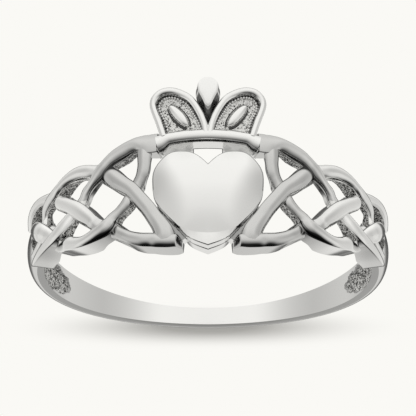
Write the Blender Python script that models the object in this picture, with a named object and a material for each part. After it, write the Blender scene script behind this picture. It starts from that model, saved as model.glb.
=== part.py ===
"""A claddagh ring in polished white metal, cast in one piece.

A heart with a crown stands at the front of the band. On each side of it four strands are
plaited into a pierced knot, which closes into a plain D-section shank round the back.

Everything is laid out flat first, as a jeweller rolls out a pattern. x is the way round the
finger from the heart's middle, y the way along the finger towards the crown, and z the height
above the finger hole. The flat pieces are then wrapped round the finger, joined, and reamed
to the finger's size. Metres, +Z up, with the ring lying as it rests on a table: on the tip of
its crown and the edge of its shank, with the heart facing -Y.
"""

from math import atan2, cos, hypot, pi, radians, sin

import bmesh
import bpy
from mathutils import Matrix, Vector

MM = 0.001

# The finger hole
BORE_RADIUS = 8.65 * MM
BORE_SIDES = 96

# The shank, from the ends of the knots round the back
SHANK_BACK_WIDTH = 1.06 * MM
SHANK_BACK_THICKNESS = 0.72 * MM
SHANK_SIDE_WIDTH = 2.06 * MM
SHANK_SIDE_THICKNESS = 0.90 * MM
SHANK_SIDE_ROOT = 1.2 * MM
SHANK_STATIONS = 44

# The plaited knots
HEAD_THICKNESS = 1.35 * MM
KNOT_REACH = 14.6 * MM
KNOT_RISE = 3.5 * MM
STRAND_WIDTH = 0.80 * MM
STRAND_LIFT = 0.26 * MM

# The heart
HEART_WIDTH = 5.96 * MM
HEART_HEIGHT = 5.30 * MM
HEART_TIP = -3.53 * MM
HEART_EDGE_HEIGHT = 1.22 * MM
HEART_CREST = 1.95 * MM
HEART_SKIRT = 0.04 * MM
HEART_SKIRT_HEIGHT = 0.65 * MM

# The crown
CROWN_FOOT = 0.28 * MM
CROWN_CREST = 1.50 * MM
CROWN_FLOOR = 1.05 * MM
BAR_LENGTH = 5.40 * MM
BAR_WIDTH = 0.68 * MM
BAR_MIDDLE = 2.61 * MM
BAR_SAG = 0.18 * MM
LOBE_WIDTH = 3.05 * MM
LOBE_HEIGHT = 2.55 * MM
RIM_WIDTH = 0.36 * MM
RIM_FLARE = 0.10 * MM
SEED_LENGTH = 1.62 * MM
SEED_WIDTH = 0.62 * MM
FINIAL_WIDTH = 1.34 * MM
FINIAL_HEIGHT = 2.50 * MM
FINIAL_TOP = 5.90 * MM

# The thin webs that tie the heart to the bar and the knots
WEB_HEIGHT = 0.70 * MM
WEB_WIDTH = 0.62 * MM

# The hollows inside the shank, behind the ends of the knots
HOLLOW_LENGTH = 5.0 * MM
HOLLOW_WIDTH = 1.60 * MM
HOLLOW_DEPTH = 0.28 * MM

ROOT = 0.30 * MM
LAYOUT_RADIUS = BORE_RADIUS + HEAD_THICKNESS
KNOT_ANGLE = KNOT_REACH / LAYOUT_RADIUS

# Each strand's middle line on one side, as shares: how far out along the knot, how far up
# towards the crown, how wide, how it weaves, from -1 where it dips under another strand to 1
# where it rides over one, and how high its underside is. The knot is hollow behind, so the
# strands reach the finger only along its lower edge and near the shank.
STRANDS = {
    "shoulder_strand": (
        # out, up, width, weave, underside
        (0.196, 0.690, 1.32, 0.4, 0.20),
        (0.230, 0.687, 1.18, 0.4, 0.30),
        (0.268, 0.662, 0.82, 0.4, 0.45),
        (0.312, 0.580, 0.62, 0.6, 0.60),
        (0.354, 0.464, 0.55, 0.9, 0.64),
        (0.395, 0.370, 0.62, 1.0, 0.65),
        (0.436, 0.270, 0.70, 0.6, 0.56),
        (0.475, 0.148, 0.69, -0.2, 0.42),
        (0.510, 0.035, 0.70, -0.5, 0.33),
        (0.550, -0.052, 0.70, -0.6, 0.30),
        (0.600, -0.180, 0.74, 0.0, 0.40),
        (0.640, -0.318, 0.80, 0.7, 0.47),
        (0.690, -0.425, 0.74, 1.0, 0.30),
        (0.760, -0.440, 0.60, 0.5, 0.00),
        (0.881, -0.343, 0.60, 0.0, -0.20),
        (1.024, -0.170, 0.50, -0.3, -0.20),
    ),
    "heart_side_strand": (
        (0.222, 0.710, 0.95, 0.0, 0.22),
        (0.238, 0.510, 1.00, 0.1, 0.30),
        (0.242, 0.340, 0.95, 0.1, 0.30),
        (0.256, 0.155, 0.91, -0.3, 0.30),
        (0.285, -0.035, 0.80, -0.6, 0.30),
        (0.312, -0.196, 0.71, -0.3, 0.39),
        (0.339, -0.336, 0.68, 0.0, 0.42),
        (0.362, -0.450, 0.72, 0.7, 0.30),
        (0.390, -0.545, 0.78, 1.0, 0.05),
        (0.425, -0.602, 0.68, 0.9, -0.20),
        (0.470, -0.632, 0.62, 0.5, -0.20),
        (0.530, -0.620, 0.70, 0.2, -0.20),
        (0.596, -0.575, 0.85, 0.0, -0.20),
        (0.661, -0.500, 0.85, -0.4, -0.10),
        (0.732, -0.257, 0.80, 0.0, 0.10),
        (0.774, -0.120, 0.85, 1.0, 0.20),
        (0.827, 0.014, 0.75, 0.6, 0.00),
        (0.881, 0.120, 0.70, 0.0, -0.20),
        (0.952, 0.214, 0.60, -0.6, -0.20),
    ),
    "diagonal_strand": (
        (0.132, -0.890, 0.95, 0.0, -0.16),
        (0.146, -0.840, 1.12, 0.2, -0.16),
        (0.169, -0.715, 1.20, 0.3, 0.00),
        (0.204, -0.460, 1.14, 0.7, 0.30),
        (0.243, -0.238, 1.20, 1.0, 0.35),
        (0.280, -0.065, 1.26, 1.0, 0.40),
        (0.324, 0.087, 1.20, 0.4, 0.30),
        (0.360, 0.225, 1.12, 0.1, 0.20),
        (0.403, 0.345, 1.04, -0.5, 0.10),
        (0.450, 0.440, 0.95, -0.2, 0.10),
        (0.500, 0.495, 0.89, 0.2, 0.10),
        (0.553, 0.502, 0.76, 0.4, 0.20),
        (0.606, 0.448, 0.64, 0.7, 0.38),
        (0.650, 0.330, 0.62, 1.0, 0.46),
        (0.690, 0.240, 0.72, 0.8, 0.45),
        (0.735, 0.175, 0.66, 0.2, 0.38),
        (0.783, 0.050, 0.60, -0.7, 0.20),
        (0.815, -0.100, 0.62, -1.0, 0.10),
        (0.850, -0.225, 0.60, -0.6, 0.00),
        (0.915, -0.286, 0.60, -0.3, -0.20),
    ),
    "lower_strand": (
        (0.108, -0.888, 0.80, 0.3, -0.20),
        (0.150, -0.870, 0.90, 0.3, -0.20),
        (0.207, -0.850, 0.95, 0.3, -0.20),
        (0.255, -0.820, 0.94, 0.2, -0.20),
        (0.300, -0.755, 0.92, 0.0, -0.20),
        (0.348, -0.655, 0.95, -0.2, 0.00),
        (0.390, -0.545, 0.95, -0.6, 0.15),
        (0.430, -0.430, 0.96, 0.0, 0.30),
        (0.470, -0.325, 1.05, 1.0, 0.40),
        (0.515, -0.165, 1.17, 1.0, 0.40),
        (0.560, -0.035, 1.13, 0.7, 0.35),
        (0.610, 0.090, 1.02, 0.0, 0.20),
        (0.660, 0.220, 0.88, -0.5, 0.10),
        (0.700, 0.320, 0.80, -0.6, 0.10),
        (0.750, 0.388, 0.62, -0.4, 0.10),
        (0.823, 0.400, 0.52, 0.3, 0.00),
        (0.910, 0.355, 0.52, 0.4, -0.10),
        (1.012, 0.290, 0.50, 0.0, -0.20),
    ),
}

# The heart's right half from cusp to tip, as shares of its half width and its height
HEART_OUTLINE = (
    # across, up
    (0.000, 0.819),
    (0.193, 0.938),
    (0.405, 1.000),
    (0.671, 0.994),
    (0.869, 0.909),
    (0.985, 0.800),
    (1.000, 0.664),
    (0.960, 0.502),
    (0.795, 0.364),
    (0.560, 0.214),
    (0.315, 0.076),
    (0.000, 0.000),
)

# A crown lobe's rim from the bar's end round to the middle, as shares of its width and height
LOBE_RIM = (
    # out, up
    (0.760, 0.000),
    (0.845, 0.320),
    (0.930, 0.610),
    (0.948, 0.760),
    (0.905, 0.890),
    (0.795, 0.985),
    (0.640, 1.000),
    (0.470, 0.930),
    (0.300, 0.790),
    (0.160, 0.530),
    (0.070, 0.260),
    (0.030, 0.000),
)

# The finial's right half from its top to its point, as shares of its half width and height
FINIAL_OUTLINE = (
    # across, down
    (0.00, 0.00),
    (0.45, 0.03),
    (0.86, 0.14),
    (1.00, 0.28),
    (0.92, 0.43),
    (0.66, 0.66),
    (0.36, 0.88),
    (0.00, 1.00),
)


def clear_scene():
    for old in list(bpy.data.objects):
        bpy.data.objects.remove(old, do_unlink=True)


def new_collection(name):
    collection = bpy.data.collections.new(name)
    bpy.context.scene.collection.children.link(collection)
    return collection


def white_metal():
    material = bpy.data.materials.new("polished_white_metal")
    material.use_nodes = True
    shader = material.node_tree.nodes["Principled BSDF"]
    shader.inputs["Base Color"].default_value = (0.86, 0.86, 0.85, 1.0)
    shader.inputs["Metallic"].default_value = 1.0
    shader.inputs["Roughness"].default_value = 0.12
    return material


def between(a, b, share):
    return a + (b - a) * share


def curve_through(rows, steps):
    """A Catmull-Rom curve through the rows, with steps stretches between each pair."""
    last = len(rows) - 1
    result = []
    for i in range(last):
        before, start, end, after = rows[max(i - 1, 0)], rows[i], rows[i + 1], rows[min(i + 2, last)]
        for step in range(steps):
            t = step / steps
            result.append(tuple(
                0.5 * (2 * q + (r - p) * t + (2 * p - 5 * q + 4 * r - s) * t ** 2
                       + (3 * q - p - 3 * r + s) * t ** 3)
                for p, q, r, s in zip(before, start, end, after)))
    result.append(tuple(rows[last]))
    return result


def wrap(point):
    """Rolls a flat place round the finger: (towards the heart, sideways, along the finger)."""
    around = point[0] / LAYOUT_RADIUS
    radius = BORE_RADIUS + point[2]
    return Vector((radius * cos(around), radius * sin(around), point[1]))


def solid_from_rings(name, rings, target):
    """Joins rings of as many points each into a closed solid, wrapped round the finger."""
    mesh = bmesh.new()
    rows = [[mesh.verts.new(point) for point in ring] for ring in rings]
    count = len(rows[0])
    for low, high in zip(rows, rows[1:]):
        for i in range(count):
            j = (i + 1) % count
            mesh.faces.new((low[i], low[j], high[j], high[i]))
    mesh.faces.new(list(reversed(rows[0])))
    mesh.faces.new(rows[-1])
    bmesh.ops.triangulate(mesh, faces=[face for face in mesh.faces if len(face.verts) > 4])
    for vert in mesh.verts:
        vert.co = wrap(vert.co)
    mesh.normal_update()
    bmesh.ops.recalc_face_normals(mesh, faces=mesh.faces)
    data = bpy.data.meshes.new(name)
    mesh.to_mesh(data)
    mesh.free()
    piece = bpy.data.objects.new(name, data)
    target.objects.link(piece)
    return piece


def d_section(half_width, crest, foot, bulge, flare, segments=6):
    """Half a round on walls that may lean out, as (across, height) from foot to foot."""
    shoulder = crest - min(bulge, crest - foot)
    arc = [
        (-half_width * cos(pi * i / segments), between(shoulder, crest, sin(pi * i / segments)))
        for i in range(segments + 1)
    ]
    return [(-half_width - flare, foot)] + arc + [(half_width + flare, foot)]


def swept(name, stations, target, flare=0.0):
    """A bar through (x, y, half width, crest, bulge, foot) stations, square to its path."""
    rings = []
    for i, (x, y, half_width, crest, bulge, foot) in enumerate(stations):
        before = stations[max(i - 1, 0)]
        after = stations[min(i + 1, len(stations) - 1)]
        run, rise = after[0] - before[0], after[1] - before[1]
        length = hypot(run, rise)
        rings.append([
            (x - rise / length * across, y + run / length * across, height)
            for across, height in d_section(half_width, crest, foot, bulge, flare)
        ])
    return solid_from_rings(name, rings, target)


def knot_thickness(out):
    """The height of a strand's crest, thinning from the heart to the shank."""
    return between(HEAD_THICKNESS, SHANK_SIDE_THICKNESS, min(out, 1.0) ** 2)


def strand(name, rows, side, target):
    stations = []
    for out, up, width, weave, underside in curve_through(rows, 2):
        half_width = STRAND_WIDTH * width / 2
        crest = knot_thickness(out) + STRAND_LIFT * weave
        foot = HEAD_THICKNESS * underside
        stations.append((side * KNOT_REACH * out, KNOT_RISE * up, half_width, crest, half_width * 1.1, foot))
    return swept(name, stations, target)


def shank(target):
    """From one knot's end round the back to the other's, widening and thickening to each."""
    start, turn = KNOT_ANGLE - SHANK_SIDE_ROOT / LAYOUT_RADIUS, 2 * pi
    stations = []
    for i in range(SHANK_STATIONS + 1):
        around = between(start, turn - start, i / SHANK_STATIONS)
        from_back = abs(around - pi) / (pi - start)
        share = max(0.0, min(1.0, (from_back - 0.03) / 0.8))
        share = share * share * (3 - 2 * share)
        half_width = between(SHANK_BACK_WIDTH, SHANK_SIDE_WIDTH, share) / 2
        thickness = between(SHANK_BACK_THICKNESS, SHANK_SIDE_THICKNESS, share)
        stations.append((around * LAYOUT_RADIUS, 0.0, half_width, thickness, thickness * 0.58, -ROOT))
    return swept("shank", stations, target)


def whole_outline(rows, steps):
    """A half outline through (across, along) rows, mirrored into a whole one."""
    half = curve_through(rows, steps)
    return half + [(-across, along) for across, along in reversed(half[1:-1])]


def heart(target):
    half_width = HEART_WIDTH / 2
    middle = HEART_TIP + HEART_HEIGHT * 0.6
    outline = [(across * half_width, HEART_TIP + up * HEART_HEIGHT)
               for across, up in whole_outline(HEART_OUTLINE, 2)]
    rounder = [(half_width * across, middle + HEART_HEIGHT * 0.4 * up)
               for across, up in (
                   (x / hypot(x, y - middle), (y - middle) / hypot(x, y - middle)) for x, y in outline)]

    def ring(size, roundness, height):
        return [(between(x, rx, roundness) * size, middle + (between(y, ry, roundness) - middle) * size, height)
                for (x, y), (rx, ry) in zip(outline, rounder)]

    skirt = 1 + HEART_SKIRT / half_width
    rise = HEART_CREST - HEART_EDGE_HEIGHT
    rings = [ring(skirt, 0.0, -ROOT), ring(skirt, 0.0, HEART_SKIRT_HEIGHT), ring(1.0, 0.0, HEART_EDGE_HEIGHT)]
    for size in (0.93, 0.82, 0.66, 0.46, 0.22):
        height = HEART_EDGE_HEIGHT + rise * (1 - size ** 2.6)
        rings.append(ring(size, (1 - size) * 0.9, height))
    return solid_from_rings("heart", rings, target)


def bar_line(x):
    """The middle line of the crown's bar, which sags a little to its ends."""
    return BAR_MIDDLE - BAR_SAG * (x / (BAR_LENGTH / 2)) ** 2


def crown_bar(target):
    steps = 12
    stations = []
    for i in range(steps + 1):
        x = BAR_LENGTH * (i / steps - 0.5)
        stations.append((x, bar_line(x), BAR_WIDTH / 2, CROWN_CREST, BAR_WIDTH * 0.55, CROWN_FOOT))
    return swept("crown_bar", stations, target)


def lobe_path(side, steps):
    return [(side * LOBE_WIDTH * out, BAR_MIDDLE + LOBE_HEIGHT * up)
            for out, up in curve_through(LOBE_RIM, steps)]


def crown_lobe(side, target):
    rim = [(x, y, RIM_WIDTH / 2, CROWN_CREST, RIM_WIDTH * 0.5, CROWN_FOOT) for x, y in lobe_path(side, 2)]
    floor = lobe_path(side, 2)
    swept("lobe_rim", rim, target, flare=RIM_FLARE)
    solid_from_rings(
        "lobe_floor", [[(x, y, z) for x, y in floor] for z in (CROWN_FOOT + ROOT * 0.1, CROWN_FLOOR)], target)
    seed(side, target)


def seed(side, target):
    """The slanting bead inside a lobe."""
    lean = radians(51)
    centre = (side * LOBE_WIDTH * 0.507, BAR_MIDDLE + LOBE_HEIGHT * 0.455)
    stations = []
    steps = 8
    for i in range(steps + 1):
        along = -cos(pi * i / steps)
        swell = max((1 - along ** 2) ** 0.4, 0.25)
        stations.append((
            centre[0] + side * cos(lean) * along * SEED_LENGTH / 2,
            centre[1] + sin(lean) * along * SEED_LENGTH / 2,
            SEED_WIDTH / 2 * swell,
            between(CROWN_FLOOR, CROWN_CREST, swell) - ROOT * 0.2,
            SEED_WIDTH / 2 * swell,
            CROWN_FOOT + ROOT * 0.5,
        ))
    return swept("seed", stations, target)


def finial(target):
    """The pear-shaped point between the lobes, with a flat face and bevelled sides."""
    outline = [(across * FINIAL_WIDTH / 2, FINIAL_TOP - down * FINIAL_HEIGHT)
               for across, down in whole_outline(FINIAL_OUTLINE, 2)]
    middle = FINIAL_TOP - FINIAL_HEIGHT * 0.38
    bevel = 0.82
    rings = [[(x * size, middle + (y - middle) * size, height) for x, y in outline]
             for size, height in ((0.92, CROWN_FOOT), (1.0, CROWN_FOOT + ROOT), (1.0, CROWN_FLOOR),
                                  (bevel, CROWN_CREST))]
    return solid_from_rings("finial", rings, target)


def web(name, start, end, half_widths, height, target):
    """A low flat tie between two places, with a half width at each."""
    stations = [(start[0], start[1], half_widths[0], height, ROOT * 0.2, -ROOT),
                (end[0], end[1], half_widths[1], height, ROOT * 0.2, -ROOT)]
    return swept(name, stations, target)


def webs(side, target):
    heart_half = HEART_WIDTH / 2
    heart_top = HEART_TIP + HEART_HEIGHT
    lobe_x = side * heart_half * 0.545
    web("bar_web", (lobe_x, heart_top - WEB_WIDTH), (lobe_x, BAR_MIDDLE - BAR_WIDTH * 0.2),
        (WEB_WIDTH * 1.1, WEB_WIDTH * 1.1), CROWN_FLOOR * 0.8, target)
    corner = (side * KNOT_REACH * 0.096, -KNOT_RISE * 0.85)
    web("heart_web", (side * heart_half * 0.91, HEART_TIP + HEART_HEIGHT * 0.50), corner,
        (WEB_WIDTH * 0.4, WEB_WIDTH * 0.80), WEB_HEIGHT, target)
    shoulder = STRANDS["shoulder_strand"][0]
    web("shoulder_web", (side * KNOT_REACH * (shoulder[0] + 0.02), KNOT_RISE * shoulder[1]),
        (side * BAR_LENGTH * 0.43, bar_line(BAR_LENGTH * 0.43)),
        (STRAND_WIDTH * 0.56, BAR_WIDTH * 0.46), CROWN_FLOOR * 1.22, target)


def ream(target):
    """The finger's cylinder, which the whole head is opened out with."""
    bpy.ops.mesh.primitive_cylinder_add(
        vertices=BORE_SIDES, radius=BORE_RADIUS, depth=KNOT_RISE * 6, location=(0.0, 0.0, 0.0))
    return as_cutter(bpy.context.object, "finger_ream", target)


def hollow(side, target):
    """A spoon-shaped hollow on the shank's inside, behind a knot's end."""
    around = side * (KNOT_ANGLE + HOLLOW_LENGTH * 0.58 / LAYOUT_RADIUS)
    bpy.ops.mesh.primitive_uv_sphere_add(segments=20, ring_count=12, radius=1.0)
    cutter = bpy.context.object
    cutter.scale = (HOLLOW_DEPTH * 2, HOLLOW_LENGTH / 2, HOLLOW_WIDTH / 2)
    cutter.rotation_euler = (0.0, 0.0, around)
    middle = BORE_RADIUS - HOLLOW_DEPTH
    cutter.location = (middle * cos(around), middle * sin(around), 0.0)
    bpy.context.view_layer.update()
    cutter.data.transform(cutter.matrix_world)
    cutter.matrix_world = Matrix.Identity(4)
    bend_to_bore(cutter.data, around)
    return as_cutter(cutter, "hollow_cutter", target)


def bend_to_bore(mesh, around):
    """Bends a straight cutter round the finger, so that it keeps its depth all along."""
    outward = Vector((cos(around), sin(around), 0.0))
    onward = Vector((-sin(around), cos(around), 0.0))
    for vert in mesh.vertices:
        radius = vert.co.dot(outward)
        turn = around + vert.co.dot(onward) / BORE_RADIUS
        vert.co = Vector((radius * cos(turn), radius * sin(turn), vert.co.z))


def as_cutter(piece, name, target):
    piece.name = name
    for collection in list(piece.users_collection):
        collection.objects.unlink(piece)
    target.objects.link(piece)
    piece.hide_render = True
    piece.display_type = "WIRE"
    return piece


def combine(base, collection, operation):
    """Applies one Boolean of every solid in the collection to the base."""
    modifier = base.modifiers.new(collection.name, "BOOLEAN")
    modifier.operand_type = "COLLECTION"
    modifier.collection = collection
    modifier.operation = operation
    modifier.solver = "EXACT"
    depsgraph = bpy.context.evaluated_depsgraph_get()
    mesh = bpy.data.meshes.new_from_object(base.evaluated_get(depsgraph))
    base.modifiers.clear()
    old = base.data
    base.data = mesh
    bpy.data.meshes.remove(old)


def lay_down(ring):
    """Lays the ring crown down on its two lowest places and sets it over the origin."""
    points = [vert.co.copy() for vert in ring.data.vertices]
    front = [point for point in points if point.x > 0]
    back = [point for point in points if point.x < 0]
    tilt = 0.0
    for _ in range(8):
        lean_front = max(front, key=lambda p: p.z * cos(tilt) - p.x * sin(tilt))
        lean_back = max(back, key=lambda p: p.z * cos(tilt) - p.x * sin(tilt))
        tilt = atan2(lean_front.z - lean_back.z, lean_front.x - lean_back.x)
    heart_way = Vector((0.0, -cos(tilt), sin(tilt)))
    crown_way = Vector((0.0, -sin(tilt), -cos(tilt)))
    side_way = Vector((-1.0, 0.0, 0.0))
    turn = Matrix((heart_way, side_way, crown_way)).transposed().to_4x4()
    placed = [turn @ point for point in points]
    middle = [(max(p[i] for p in placed) + min(p[i] for p in placed)) / 2 for i in (0, 1)]
    floor = min(p.z for p in placed)
    ring.matrix_world = Matrix.Translation((-middle[0], -middle[1], -floor)) @ turn


def build():
    clear_scene()
    pieces = new_collection("claddagh_ring")
    joined = new_collection("joined_pieces")
    cutters = new_collection("cutters")
    ring = shank(pieces)
    heart(joined)
    crown_bar(joined)
    finial(joined)
    for side in (-1, 1):
        for name, rows in STRANDS.items():
            strand(name, rows, side, joined)
        webs(side, joined)
        crown_lobe(side, joined)
        hollow(side, cutters)
    ream(cutters)
    combine(ring, joined, "UNION")
    combine(ring, cutters, "DIFFERENCE")
    for part in list(joined.objects):
        bpy.data.objects.remove(part, do_unlink=True)
    bpy.data.collections.remove(joined)
    ring.name = "cast_ring"
    ring.data.name = "cast_ring"
    ring.data.materials.clear()
    ring.data.materials.append(white_metal())
    ring.data.shade_smooth()
    ring.data.set_sharp_from_angle(angle=radians(35))
    lay_down(ring)


build()
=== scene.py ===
"""The looks of a claddagh ring in polished white metal.

A heart under a crown, held between two pierced plaits, on a plain shank. Each piece is laid
out flat, as a jeweller rolls out a pattern (x round the finger from the heart's middle, y
along the finger towards the crown, z the height above the finger hole), then rolled round the
finger and set down as the ring rests: on the tip of its crown and the edge of its shank.
"""

import math

import bmesh
import bpy
import numpy as np
from mathutils import Matrix, Vector, noise


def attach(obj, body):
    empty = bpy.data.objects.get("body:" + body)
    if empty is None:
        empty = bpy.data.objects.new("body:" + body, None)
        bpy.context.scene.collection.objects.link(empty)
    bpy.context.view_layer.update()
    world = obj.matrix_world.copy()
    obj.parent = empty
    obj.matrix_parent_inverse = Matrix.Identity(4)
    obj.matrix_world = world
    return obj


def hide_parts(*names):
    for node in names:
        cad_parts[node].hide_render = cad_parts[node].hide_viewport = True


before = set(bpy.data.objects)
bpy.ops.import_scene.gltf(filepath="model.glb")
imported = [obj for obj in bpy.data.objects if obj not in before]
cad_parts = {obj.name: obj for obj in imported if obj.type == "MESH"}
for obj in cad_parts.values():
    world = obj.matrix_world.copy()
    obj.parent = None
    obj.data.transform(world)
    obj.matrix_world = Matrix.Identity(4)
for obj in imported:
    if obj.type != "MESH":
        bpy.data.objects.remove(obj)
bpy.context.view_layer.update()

MM = 0.001

# How the ring rests: columns are the heart's way, sideways, the crown's way, and its place
REST = Matrix((
    (0.0, -1.0, 0.0, 0.0),
    (-0.95886362, 0.0, -0.28386706, 0.00117631),
    (0.28386706, 0.0, -0.95886362, 0.00304949),
    (0.0, 0.0, 0.0, 1.0),
))

BORE_RADIUS = 8.65 * MM
HEAD_THICKNESS = 1.35 * MM
LAYOUT_RADIUS = BORE_RADIUS + HEAD_THICKNESS

SHANK_BACK_WIDTH = 1.06 * MM
SHANK_BACK_THICKNESS = 0.72 * MM
SHANK_SIDE_WIDTH = 2.06 * MM
SHANK_SIDE_THICKNESS = 0.90 * MM
SHANK_SIDE_ROOT = 1.2 * MM

KNOT_REACH = 14.6 * MM
KNOT_RISE = 3.5 * MM
KNOT_ANGLE = KNOT_REACH / LAYOUT_RADIUS
STRAND_WIDTH = 0.80 * MM
STRAND_LIFT = 0.26 * MM
STRAND_SLOPE = 46
STRAND_FALL = 66
FLANK_SLOPE = 72
EDGE_ROUND = 0.034 * MM

HEART_WIDTH = 5.96 * MM
HEART_HEIGHT = 5.30 * MM
HEART_TIP = -3.53 * MM
HEART_EDGE_HEIGHT = 1.22 * MM
HEART_CREST = 1.95 * MM
HEART_SKIRT = 0.04 * MM
HEART_SKIRT_HEIGHT = 0.65 * MM
HEART_CHAMFER = 0.06 * MM
TIP_FLAT = 0.62 * MM

CROWN_FOOT = 0.28 * MM
CROWN_CREST = 1.50 * MM
CROWN_FLOOR = 1.05 * MM
BAR_LENGTH = 5.40 * MM
BAR_WIDTH = 0.68 * MM
BAR_MIDDLE = 2.61 * MM
BAR_SAG = 0.18 * MM
BAR_FLARE = 0.15 * MM
LOBE_WIDTH = 3.05 * MM
LOBE_HEIGHT = 2.55 * MM
RIM_WIDTH = 0.36 * MM
RIM_FLARE = 0.10 * MM
SEED_LENGTH = 1.62 * MM
SEED_WIDTH = 0.60 * MM
BEAD_RADIUS = 0.078 * MM
BEAD_SPACING = 0.16 * MM
BEAD_INSET = 0.30 * MM
FINIAL_WIDTH = 1.34 * MM
FINIAL_HEIGHT = 2.50 * MM
FINIAL_TOP = 5.90 * MM

WEB_HEIGHT = 0.70 * MM
WEB_WIDTH = 0.62 * MM

HOLLOW_LENGTH = 6.2 * MM
HOLLOW_WIDTH = 1.75 * MM
HOLLOW_DEPTH = 0.28 * MM
HOLLOW_FROM_KNOT = 3.1 * MM

# The picture: how far off the camera stands and how far towards the heart's point, the
# picture's size and scale, and the row on which the finger hole's middle falls
CAMERA_DISTANCE = 400 * MM
CAMERA_TILT = math.radians(22.5)
SENSOR_WIDTH = 36
PICTURE_PIXELS = 416
PIXELS_PER_MM = 18.9
HOLE_MIDDLE_ROW = 254.7

# How fine the metal's patterns are, in waves to the metre
HAZE_WAVES = 900.0
BUFFING_WAVES = 5200.0
LUMP_WAVES = 5200.0
GRAIN_WAVES = 11000.0

# The studio: a bright table with one matt patch behind the shank, the tent and the soft light
FLOOR_SIZE = 0.6
FLOOR_GLOW = (0.956, 0.947, 0.913, 1.0)
FLOOR_MATT = (0.93, 0.92, 0.89, 1.0)
PATCH_MIDDLE = 11.2 * MM
PATCH_HALF_LENGTH = 12.5 * MM
PATCH_HALF_DEPTH = 2.3 * MM
TENT_TINT = (1.0, 0.993, 0.965, 1.0)
KEY_WAY = Vector((0.05, -0.72, 0.70))
KEY_DISTANCE = 0.30
KEY_SIZE = 0.20
KEY_POWER = 0.172

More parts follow.
